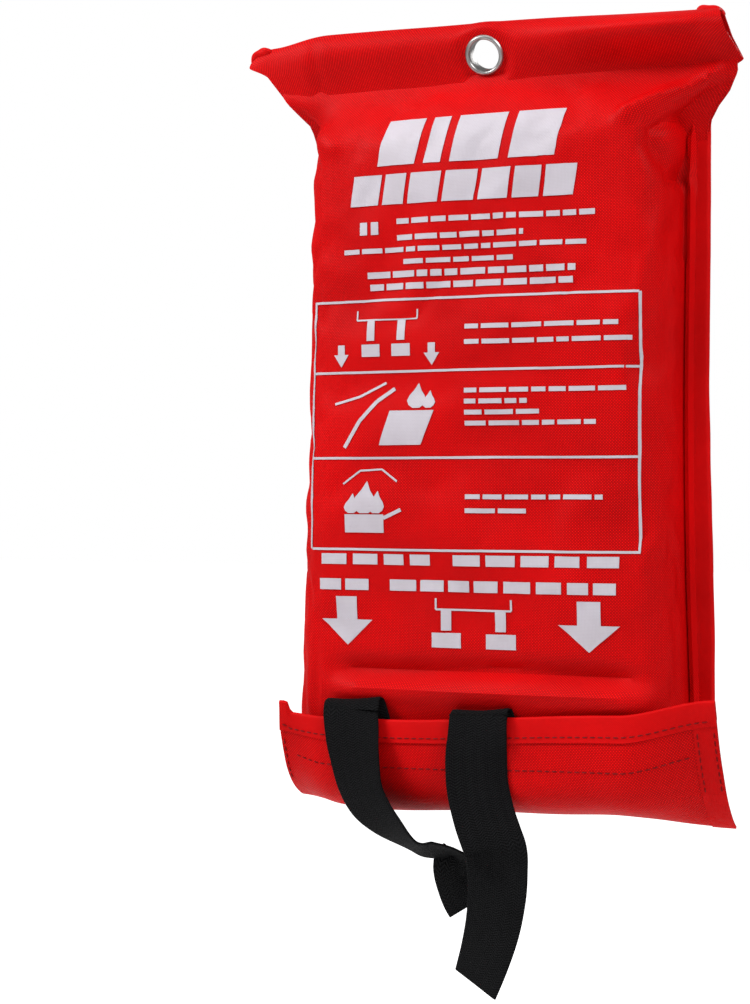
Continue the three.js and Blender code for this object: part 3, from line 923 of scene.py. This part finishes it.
def back_place(u, v):
    """u from left to right, v down the back, from the header to the foot."""
    z = mix(PANEL_TOP, POUCH_BOTTOM + 0.6 * MM, v)
    side = outline_x(LEFT_EAR if u < 0 else RIGHT_EAR, z)
    if u < 0:
        side += 6 * MM * smooth(-0.04, -0.3, z)
    x = u * (side - 0.5 * MM)
    full = smooth(HEADER_BOTTOM, -46 * MM, z)
    wave = 0.5 * MM * noise_at(x, 0, z, 0.06, 6.6) * full
    return x, mix(1.0 * MM, BACK_Y - 0.4 * MM, full) - abs(wave), z


def make_back():
    back = cloth_on("pouch_back", back_place, np.linspace(1, -1, 61), np.linspace(1, 0, 91), RED)
    return fit(back, "pouch_cloth", "pouch", "back_panel")


def binding_place(side):
    """The band folded round one side's edge. u runs across it, from the front round the edge to the back."""
    width = 7.6 * MM
    half = 1.35 * MM
    turn_start, turn_end = 0.42, 0.58
    middle = (FLANGE_Y + BACK_Y) / 2

    def place(u, v):
        z = mix(-30 * MM, MOUTH_Z + 0.5 * MM, v)
        if side > 0:
            edge = FLANGE_X + 0.6 * MM + 1.6 * MM * smooth(-0.1, -0.26, z) - 0.9 * MM * bump(-0.15, 0.05, z)
        else:
            edge = mix(82.8 * MM, 88.8 * MM, smooth(-0.04, -0.3, z))
        wave = 0.5 * MM * noise_at(0, 0, z, 0.02, 3.3 + side)
        s = (u + 1) / 2
        turn = min(max((s - turn_start) / (turn_end - turn_start), 0), 1) * math.pi
        x = edge - half + half * math.sin(turn)
        if not turn_start <= s < turn_end:
            x = edge - half - width * (1 - s / turn_start if s < turn_start else (s - turn_end) / turn_start)
        return side * (x + wave * 0.4), middle - half * math.cos(turn) + wave, z

    return place


def make_bindings():
    across = np.concatenate([np.linspace(-1, -0.16, 6), np.linspace(-0.12, 0.12, 7), np.linspace(0.16, 1, 4)])
    made = []
    for side, word in ((-1, "left"), (1, "right")):
        place = binding_place(side)
        order = across if side > 0 else across[::-1]
        band = cloth_on(word + "_binding", place, order, np.linspace(1, 0, 120), TRIM, thickness=0.5 * MM)
        made.append(fit(band, "pouch_trim", "pouch", word + "_seam_binding"))
        seam = Stitches()
        row_on(seam, place, [(-0.82, v) for v in np.linspace(0.98, 0.02, 200)], 0.25 * MM)
        made.append(fit(seam.finish(word + "_binding_stitches"), "pouch_trim", "pouch"))
    return made


# ---- the flap ----

# The flap's section at its middle and its ends, from the back edge to the top edge in front: (y, z) in mm
MIDDLE, LEFT_END, RIGHT_END = (curve([(0, y, z) for y, z in section], 65) * MM for section in (
    [(13.6, -306.6), (12.6, -310.2), (4, -310.4), (-6.5, -308), (-13, -303.6), (-16.4, -297), (-17.6, -286),
     (-17.8, -273.6)],
    [(13.4, -305), (12, -308.5), (5, -308.2), (-4, -303), (-10, -296), (-13.5, -288), (-15.5, -279),
     (-16.2, -272.2)],
    [(13.3, -305.8), (11.9, -311.9), (7, -309), (1, -301), (-3, -292), (-6.5, -283), (-9, -274),
     (-10.5, -267)],
))
FLAP_LEFT = -88 * MM
FLAP_RIGHT = 102.5 * MM
FLAP_LENGTH = 64 * MM
HEM_WIDTH = 8.6 * MM
# Where the cloth bends at the two joints: the start and end of the bend
FOLD_START = np.array((0, -13.5, -304.5)) * MM
FOLD_END = np.array((0, -17.4, -297.5)) * MM


def flap_place(u, v):
    """u from the flap's left edge to its right, v from the hinge under the mouth and up to the top edge."""
    inset = 8 * MM * smooth(0.14, 0, v)
    left = FLAP_LEFT + 1.2 * MM * math.sin(v * math.pi) + inset / 2
    x = mix(left, FLAP_RIGHT - 3.2 * MM * v - inset, (u + 1) / 2)
    row = v * (len(MIDDLE) - 1)
    low = min(int(row), len(MIDDLE) - 2)
    sections = (MIDDLE, LEFT_END, RIGHT_END)
    middle, left_end, right_end = (mix(part[low], part[low + 1], row - low) for part in sections)
    _, y, z = mix(mix(middle, left_end, smooth(-0.064, -0.088, x)), right_end, smooth(0.062, 0.1, x))
    under = smooth(0.62, 0.3, v) * smooth(0.03, 0.14, v)
    z += 6.2 * MM * smooth(-0.045, 0.078, x) * v * v
    z -= 2.2 * MM * bump(-0.045, 0.028, x) * under
    z += 1.4 * MM * bump(0.055, 0.02, x) * under
    front_share = smooth(0.5, 0.7, v)
    y += 0.7 * MM * noise_at(x, 0, z, 0.028, 1.7) * front_share * (1 - 0.5 * bump(1, 0.1, v))
    y += 0.6 * MM * bump(0.03, 0.022, x) * front_share
    tab = smooth(-0.0815, -0.0852, x) * smooth(0.84, 1.0, v)
    return x + 1.6 * MM * tab, y - 1.6 * MM * tab, z + 4.6 * MM * tab


@functools.lru_cache(maxsize=None)
def fold_row(u):
    """The v at which the flap's cloth reaches the start of its fold: the two halves meet there."""
    ahead = FOLD_END - FOLD_START
    for v in np.linspace(0.3, 0.8, 201):
        if (np.array(flap_place(u, v)) - FOLD_START) @ ahead > 0:
            return float(v)
    return 0.8


def flap_lower(u, v):
    return flap_place(u, v * fold_row(u))


def flap_upper(u, v):
    return flap_place(u, mix(fold_row(u), 1, v))


def make_flap_side(word, low, high, lift, top):
    """One side's hem, in two lengths that meet at the fold. Gives the lower and the upper one."""
    made = []
    for part, place, start, end in (("lower", flap_lower, 0.12, 1), ("upper", flap_upper, 0, top)):
        strip = cloth_on("flap_%s_%s" % (word, part), place, np.linspace(low, high, 9),
                         np.linspace(start, end, 24), TRIM, lift=lift * MM, thickness=0.4 * MM)
        made.append(strip)
    return fit(made[0], "pouch_trim", None), fit(made[1], "pouch_trim", None, "flap_%s_hem" % word)


def make_flap():
    across = np.linspace(-1, 1, 109)
    base = cloth_on("flap_under", flap_lower, across, np.linspace(0, 1, 34), RED)
    fit(base, "pouch_cloth", None, "flap_base", "flap_base_left_hem", "flap_base_right_hem")
    panel = cloth_on("flap_front", flap_upper, across, np.linspace(0, 1, 36), RED)
    fit(panel, "pouch_cloth", None, "flap_panel")
    hem = hem_on("flap_hem", flap_place, across, 1 - HEM_WIDTH / FLAP_LENGTH, 1, 0.9, 0.75 * MM, TRIM)
    fit(hem, "pouch_trim", None, "flap_top_hem")
    left = make_flap_side("left", -1, -0.9, -0.55, 0.72)
    right = make_flap_side("right", 0.9, 1, 0.45, 0.8)
    seams = Stitches()
    hem_seam = 1 - (HEM_WIDTH - 2 * MM) / FLAP_LENGTH
    row_on(seams, flap_place, [(u, hem_seam) for u in np.linspace(-0.99, 0.99, 300)], 1.05 * MM)
    row_on(seams, flap_place, [(u, 0.70) for u in np.linspace(-0.93, 0.9, 300)], 0.32 * MM)
    for u, lift in ((0.915, 0.68), (0.985, 0.68), (-0.985, 0.32)):
        row_on(seams, flap_upper, [(u, v) for v in np.linspace(0.02, 0.71, 80)], lift * MM)
    thread = fit(seams.finish("flap_stitches"), "pouch_trim", None)
    hook = cloth_on("flap_hook", flap_place, np.linspace(-0.84, 0.78, 60), np.linspace(0.64, 0.87, 8), PILE,
                    lift=-0.75 * MM, thickness=0.7 * MM)
    fit(hook, "hook_and_loop", None, "hook_strip")
    lower = [left[0], right[0]]
    upper = [hem, thread, hook, left[1], right[1]]
    for piece in [base] + lower:
        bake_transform(piece)
    for piece in [panel] + upper:
        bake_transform(piece)
    as_sheet(base, lower)
    as_sheet(panel, upper)


# ---- hidden strips at the mouth ----

def strip_place(y, low, high, half_width):
    def place(u, v):
        return u * half_width, y + 0.15 * MM * noise_at(u, v, 0, 0.4), mix(low, high, v)
    return place


def make_mouth_strips():
    strips = []
    for name, node, material, slot, thickness in (
        ("mouth_fold", "mouth_hem", TRIM, "pouch_trim", 0.5 * MM),
        ("pouch_loop", "loop_strip", PILE, "hook_and_loop", 0.75 * MM),
    ):
        low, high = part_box(node)
        place = strip_place((low[1] + high[1]) / 2, low[2], high[2], high[0])
        strip = cloth_on(name, place, np.linspace(-1, 1, 60), np.linspace(0, 1, 8), material,
                         thickness=thickness)
        strips.append(fit(strip, slot, "pouch", node))
    return strips


# ---- the folded blanket ----

PLIES = 7
LEGS = 4
GLASS_CLOTH = 0.43 * MM
BLANKET_DEPTH = 17.4 * MM


def ply_path(half, pitch):
    """The first fold, as (x, layer): to and fro across the blanket, one layer further back each time."""
    path = []
    for j in range(PLIES):
        way = 1 if j % 2 == 0 else -1
        reach = half - 1.2 * MM * random.random()
        path += [(way * s * reach, j + 0.5) for s in np.linspace(-1, 1, 8)]
        if j < PLIES - 1:
            for turn in np.radians([36, 72, 108, 144]):
                path.append((way * (reach + 0.5 * pitch * math.sin(turn)), j + 1 - 0.5 * math.cos(turn)))
    return path


def make_blanket():
    """One sheet, folded like an accordion into seven plies and then into four legs."""
    pitch = BLANKET_DEPTH / (PLIES * LEGS)
    path = ply_path(blanket_high[0] - 1.6 * MM, pitch)
    top = blanket_high[2] - PLIES * pitch
    bottom = blanket_low[2] + PLIES * pitch
    front_y = blanket_low[1] + 0.8 * MM
    rows = []
    for leg in range(LEGS):
        down = leg % 2 == 0
        layers = [(x, o if down else PLIES - o) for x, o in path]
        for s in np.linspace(0, 1, 16):
            z = mix(top, bottom, s if down else 1 - s)
            rows.append([(x, front_y + (leg * PLIES + layer) * pitch, z) for x, layer in layers])
        if leg == LEGS - 1:
            break
        seam = front_y + (leg + 1) * PLIES * pitch
        end, way = (bottom, -1) if down else (top, 1)
        for turn in np.radians(np.linspace(18, 162, 9)):
            radii = [(x, (PLIES - layer) * pitch) for x, layer in layers]
            rows.append([(x, seam - r * math.cos(turn), end + way * r * math.sin(turn)) for x, r in radii])
    points = np.array(rows)
    ripple = np.array([[noise_at(p[0], 0, p[2], 0.05, 9.1) for p in row] for row in points])
    points[:, :, 1] += 0.3 * MM * ripple
    points[:, :, 2] += 0.25 * MM * ripple
    cloth = grid_object("blanket", points, flat_of(points))
    thicken(cloth, GLASS_CLOTH)
    fit(shade(cloth, GLASS), "glass_cloth", "blanket", "folded_blanket")


# ---- the pull tapes ----

# The webbing's section, in halves of its width and thickness: one side, and the same turned round
RIBBON_SIDE = [(-1, 0), (-0.99, 0.5), (-0.96, 0.85), (-0.9, 1), (-0.45, 0.92), (0, 0.88), (0.45, 0.92),
               (0.9, 1), (0.96, 0.85), (0.99, 0.5)]
RIBBON_SECTION = RIBBON_SIDE + [(-a, -b) for a, b in RIBBON_SIDE]


def ribbon(name, stations, count, start_run=0.0):
    """Webbing along stations of (centre in mm, direction of its width). Also gives its length."""
    path = curve(stations, count)
    centres = path[:, :3] * MM
    run = start_run + run_of(centres)
    vertices = []
    flat = []
    for i, centre in enumerate(centres):
        ahead = unit(centres[min(i + 1, count - 1)] - centres[max(i - 1, 0)])
        wide = unit(path[i, 3:] - ahead * (path[i, 3:] @ ahead))
        out = np.cross(wide, ahead)
        for a, b in RIBBON_SECTION:
            vertices.append(centre + wide * a * TAPE_WIDTH / 2 + out * b * WEBBING / 2)
            flat.append((a * TAPE_WIDTH / 2 + (0 if b >= 0 else TAPE_WIDTH * 2), run[i]))
    piece = face_out(mesh_object(name, vertices, tube_faces(count, len(RIBBON_SECTION)), flat))
    return shade(piece, WEB), float(run[-1] - start_run)


SPLIT_Z = TAPE_HINGE.z / MM + 1.5


def tape_root_stations(x, top, slant):
    """From the blanket, down round the mouth, up behind the flap and over its top edge."""
    inner = x + slant
    return [
        (inner, -10.4, -262, 1, 0, 0), (inner, -10.4, -278, 1, 0, 0), (inner, -10.5, -292, 1, 0, 0),
        (inner, -11.4, -295.6, 1, 0, 0), (inner, -12.9, -296.8, 1, 0, 0), (inner, -14.5, -295.4, 1, 0, 0),
        (inner, -15.3, -291.5, 1, 0, 0), (x + slant * 0.85, -15.3, top - 16, 1, 0, 0.06),
        (x + slant * 0.5, -15.4, top - 8, 1, 0, 0.12), (x + slant * 0.16, -15.9, top - 2.4, 1, 0, 0.1),
        (x + slant * 0.06, -17.2, top - 0.3, 1, 0, 0.06), (x, -19.2, top - 0.6, 1, 0, 0.03),
        (x, -20.4, top - 2.2, 1, 0, 0), (x, -20.7, SPLIT_Z, 1, 0, 0),
    ]


def left_tail_stations(x):
    return [
        (x, -20.7, SPLIT_Z, 1, 0, 0), (x, -20.9, SPLIT_Z - 2, 1, 0, 0),
        (x + 0.9, -21.7, -278, 0.99, -0.05, 0),
        (x + 2.2, -22.6, -286, 0.97, -0.16, 0.02), (x + 5.0, -22.8, -299.5, 0.93, -0.32, 0.16),
        (x + 8.9, -21.0, -308.5, 0.85, -0.42, 0.32), (x + 14.8, -17.8, -316.0, 0.72, -0.6, 0.36),
        (x + 20.9, -14.4, -322.0, 0.48, -0.8, 0.34), (x + 26, -11.8, -325.2, 0.22, -0.9, 0.36),
        (x + 32.0, -8.8, -326.4, 0.06, -0.92, 0.42), (x + 39.5, -6.5, -327.4, 0.2, -0.9, 0.34),
        (x + 41.5, -3.4, -330.4, 0.7, -0.66, 0.16), (x + 39.6, -1.2, -335.6, 0.96, -0.2, -0.06),
        (x + 41.2, 0.6, -343.0, 0.96, -0.05, -0.25), (x + 45, 1.2, -349.2, 0.93, 0, -0.36),
    ]


def right_tail_stations(x):
    return [
        (x, -20.7, SPLIT_Z, 1, 0, 0), (x, -20.8, SPLIT_Z - 2, 1, 0, 0), (x - 0.3, -21.0, -278, 0.99, 0.08, 0),
        (x - 0.6, -21.2, -287, 0.95, 0.28, 0), (x + 0.2, -21.4, -298, 0.93, 0.36, 0.02),
        (x + 3.0, -21.6, -309, 0.92, 0.36, 0.08), (x + 6.3, -22.0, -317.5, 0.92, 0.34, 0.1),
        (x + 8.0, -21.2, -323, 0.93, 0.34, 0.03), (x + 7.4, -18.6, -330, 0.93, 0.2, -0.1),
        (x + 6.6, -16.8, -340, 0.92, 0.05, -0.14), (x + 4.3, -15.4, -353, 0.9, -0.1, -0.22),
        (x + 0.4, -14.2, -366, 0.87, -0.25, -0.3), (x - 4.2, -13.4, -378.5, 0.84, -0.38, -0.34),
    ]


def make_tape(word, x, top, slant, tail_stations):
    """One tape: its root rides on the blanket, and its tail hangs down from the flap's edge. top, slant in
    mm.
    """
    root, root_length = ribbon(word + "_tape_loop", tape_root_stations(x / MM, top, slant), 90)
    fit(root, "tape_webbing", "blanket", word + "_tape_root")
    tail, tail_length = ribbon(word + "_tape_tail", tail_stations(x / MM), 110, root_length)
    fit(tail, "tape_webbing", None, word + "_pull_tape")
    start, end = ((x, TAPE_HINGE.y, TAPE_HINGE.z + rise) for rise in (1.4 * MM, -4 * MM))
    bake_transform(tail)
    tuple(start)
    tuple(end)


def make_tapes():
    make_tape("left", LEFT_TAPE_X, -265.0, 5.0, left_tail_stations)
    make_tape("right", RIGHT_TAPE_X, -267.4, 5.5, right_tail_stations)


# ---- the print ----

class Print:
    """Flat inked shapes laid on the front cloth. All places are (x, z) in mm."""

    def __init__(self):
        self.vertices = []
        self.faces = []
        self.flat = []

    def grid(self, corners, cell=2.0):
        """A four-cornered shape: bottom left, bottom right, top right and top left."""
        bl, br, tr, tl = (np.array(c, float) for c in corners)
        wide = max(np.linalg.norm(br - bl), np.linalg.norm(tr - tl))
        high = max(np.linalg.norm(tl - bl), np.linalg.norm(tr - br))
        columns = max(2, int(wide / cell) + 2)
        rows = max(2, int(high / cell) + 2)
        first = len(self.vertices)
        for v in np.linspace(0, 1, rows):
            for u in np.linspace(0, 1, columns):
                x, z = mix(mix(bl, br, u), mix(tl, tr, u), v) * MM
                self.vertices.append(on_front(x, z, CLOTH / 2 + 0.24 * MM))
                self.flat.append((x, z))
        for r in range(rows - 1):
            for c in range(columns - 1):
                a = first + r * columns + c
                self.faces.append((a, a + 1, a + columns + 1, a + columns))

    def bar(self, x0, x1, z0, z1, lean=0.0):
        """A bar from x0 to x1 and z0 to z1, whose top leans to the right."""
        self.grid([(x0, z0), (x1, z0), (x1 + lean, z1), (x0 + lean, z1)])

    def blocks(self, z0, z1, lean, spans):
        """A row of bars, one for each (x, width)."""
        for x, width in spans:
            self.bar(x, x + width, z0, z1, lean)

    def line(self, points, width):
        """A stroke through the points."""
        for (x0, z0), (x1, z1) in zip(points[:-1], points[1:]):
            ahead = np.array([x1 - x0, z1 - z0], float)
            side = np.array([-ahead[1], ahead[0]]) / np.linalg.norm(ahead) * width / 2
            a, b = np.array([x0, z0]), np.array([x1, z1])
            self.grid([a - side, b - side, b + side, a + side])

    def words(self, x0, x1, z, height, rng, gap=1.3, longest=11.0):
        """A line of text shown only as dashes of word length."""
        x = x0
        while x < x1 - 1:
            end = min(x + rng.uniform(0.35, 1.0) * longest, x1)
            self.bar(x, end, z - height / 2, z + height / 2)
            x = end + gap

    def arrow(self, x, top, neck, tip, shaft, head):
        """An arrow that points down."""
        self.bar(x - shaft / 2, x + shaft / 2, neck, top)
        self.grid([(x - 0.1, tip), (x + 0.1, tip), (x + head / 2, neck), (x - head / 2, neck)])

    def drop(self, x, z, size):
        """A plain flame: a pointed drop."""
        rows = [(0, 0.16), (0.12, 0.34), (0.3, 0.42), (0.5, 0.34), (0.72, 0.16), (1.0, 0.01)]
        for (h0, w0), (h1, w1) in zip(rows[:-1], rows[1:]):
            sway0, sway1 = 0.1 * size * h0 * h0, 0.1 * size * h1 * h1
            self.grid([(x - w0 * size + sway0, z + h0 * size), (x + w0 * size + sway0, z + h0 * size),
                       (x + w1 * size + sway1, z + h1 * size), (x - w1 * size + sway1, z + h1 * size)])

    def finish(self):
        ink = mesh_object("pouch_print", self.vertices, self.faces, self.flat)
        thicken(ink, 0.12 * MM)
        return fit(shade(ink, INK), "pouch_trim", "pouch")


# The frame of the drawings' table, in mm: its sides, and the heights of its lines
PRINT_LEFT, PRINT_RIGHT = -73.2, 69.6
PRINT_ROWS = (-100.4, -129.9, -165.3, -203.0)


def print_title(ink, rng):
    """Two rows of big blocks, and lines of words below them."""
    ink.blocks(-45.4, -26.4, 3.0, ((-42, 17), (-21, 7.5), (-9.5, 21), (16, 19.5)))
    ink.blocks(-61.4, -49.0, 1.8, (
        (-54.5, 13), (-39.5, 9.5), (-28, 13.5), (-12.5, 13.5), (3, 12.5), (17.5, 11), (30.5, 12.5)))
    ink.blocks(-73.4, -68.2, 0, ((-50, 3.4), (-44.8, 3.4)))
    for x0, x1, z, height in ((-33, 52, -68.4, 2.2), (-33, 22.5, -75.1, 2.2), (-58, 48, -80, 2.0),
                              (-30, 20, -85, 2.0), (-47, 44, -90, 2.6), (-46, 43, -95, 2.6)):
        ink.words(x0, x1, z, height, rng)


def print_table(ink, rng):
    """The table's frame, and the words on its right."""
    for z in PRINT_ROWS:
        ink.line([(PRINT_LEFT, z), (PRINT_RIGHT, z)], 1.0)
    top, bottom = PRINT_ROWS[0], PRINT_ROWS[-1]
    ink.line([(PRINT_LEFT + 0.6, top), (PRINT_LEFT - 0.8, bottom)], 1.0)
    ink.line([(PRINT_RIGHT + 0.2, top), (PRINT_RIGHT - 0.4, bottom)], 1.0)
    for x1, z in ((62, -112.4), (67, -118.6), (65, -138.2), (24, -142.6), (29, -147.0), (54, -151.4),
                  (55, -181.2), (23, -186.8)):
        ink.words(-2.6, x1, z, 1.9, rng, longest=13.0)


def print_drawings(ink):
    """The three drawings on the table's left: pull the tapes, spread the blanket, cover the fire."""
    ink.line([(-52, -104.5), (-52, -108.5), (-24, -108.5), (-24, -104.5)], 0.7)
    for x in (-45, -31):
        ink.bar(x - 1.8, x + 1.8, -117, -108.8)
        ink.bar(x - 4.2, x + 4.2, -123.5, -118.5)
    for x in (-59, -17):
        ink.arrow(x, -118.5, -122.5, -127.5, 3.2, 7.0)
    ink.grid([(-41, -160), (-22, -160), (-16, -146), (-36, -146)])
    ink.line([(-57, -161), (-50, -150), (-42, -142), (-34, -137)], 1.6)
    ink.line([(-62, -143), (-50, -140), (-38, -134.5)], 1.0)
    ink.drop(-24, -145, 10)
    ink.drop(-18.5, -145, 7)
    ink.bar(-57, -39, -196, -188.5)
    ink.line([(-39, -190), (-31, -186.5)], 1.5)
    for x, size in ((-54, 8), (-48, 13), (-42.5, 9)):
        ink.drop(x, -188, size)
    ink.line([(-58, -176), (-50, -170.5), (-40, -170), (-33, -175)], 0.8)


def print_foot(ink):
    """Two rows of blocks, two arrows down to the tapes, and a drawing of the tapes between them."""
    ink.blocks(-209.2, -204.8, 0, (
        (-68, 11.5), (-53.5, 11), (-39.5, 9), (-27.5, 9), (-8, 12), (6.5, 12.5), (21.5, 11.5), (35.5, 10.5),
        (49, 12.5)))
    ink.blocks(-219.8, -215.2, 0, (
        (-69, 10), (-57, 10.5), (-37, 12), (-23, 10.5), (-10.5, 9.5), (1, 10.5), (14, 11.5), (28, 10.5),
        (41, 8.5), (51.5, 9)))
    ink.arrow(-56.6, -222.5, -232.0, -242.6, 9.6, 23.5)
    ink.arrow(49.6, -222.5, -232.0, -242.6, 9.6, 25.0)
    ink.line([(-16, -222.5), (-16, -227), (17, -227), (17, -222.5)], 0.8)
    for x in (-11.5, 12.5):
        ink.bar(x - 2.2, x + 2.2, -235.5, -227.4)
        ink.bar(x - 6.5, x + 6.5, -242.5, -236.5)


def make_print():
    ink = Print()
    rng = random.Random(3)
    print_title(ink, rng)
    print_table(ink, rng)
    print_drawings(ink)
    print_foot(ink)
    return ink.finish()


# ---- put it together ----

as_sheet(make_header(), make_eyelet() + make_ear_rolls())
as_sheet(make_back(), make_bindings())
make_flap()
make_blanket()
make_tapes()
as_sheet(front, make_mouth_strips() + [make_print()])
